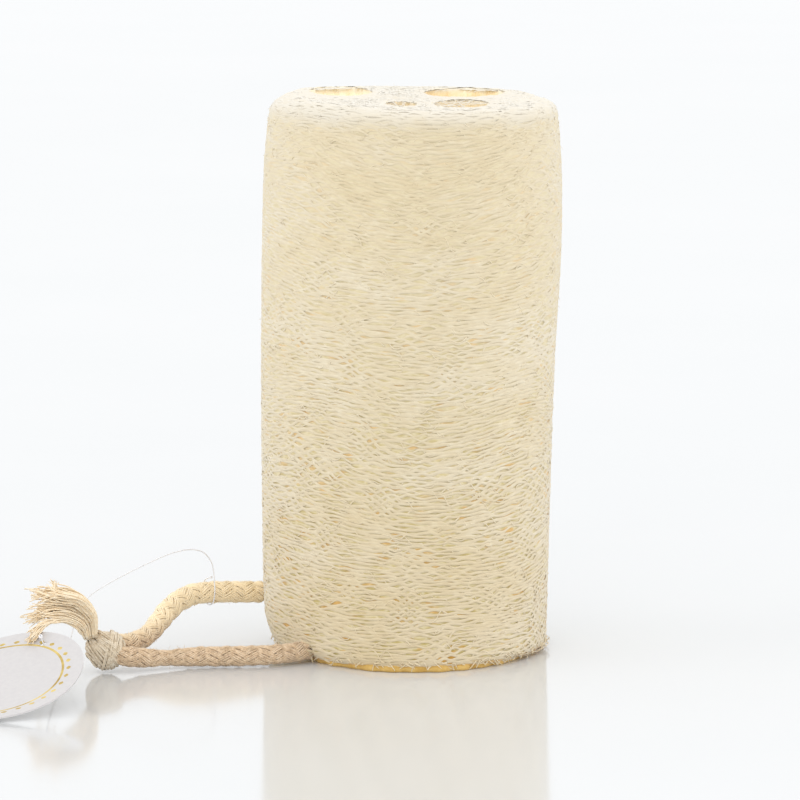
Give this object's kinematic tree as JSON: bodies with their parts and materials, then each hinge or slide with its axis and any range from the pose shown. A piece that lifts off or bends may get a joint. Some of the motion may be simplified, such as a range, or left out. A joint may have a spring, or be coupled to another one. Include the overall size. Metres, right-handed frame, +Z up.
{
  "type": "loofah sponge",
  "caption": "Cylinder of dried loofah fibre with open seed tubes, a braided cotton hanging loop tied in a frayed knot, and a blank round paper tag on a nylon thread",
  "frame": {"origin": "middle of the sponge's cut base, on the surface it stands on", "axes": "+Z up along the sponge, -Y towards the front, +X to the right; the hanging loop lies towards -X"},
  "size_m": [0.1788, 0.1449, 0.15],
  "materials": {
    "loofah_fibre": "dry plant fibre net, matt, pale cream, yellower in its hollows",
    "cotton_rope": "braided undyed cotton, matt, with loose fibres",
    "nylon_thread": "clear nylon monofilament",
    "tag_paper": "smooth white card with a plain gilt border"
  },
  "bodies": {
    "root": {"loofah_sponge": "loofah_fibre", "rope_loop": "cotton_rope", "rope_knot": "cotton_rope", "rope_tassel": "cotton_rope", "tag_thread": "nylon_thread", "paper_tag": "tag_paper"}
  },
  "joints": []
}
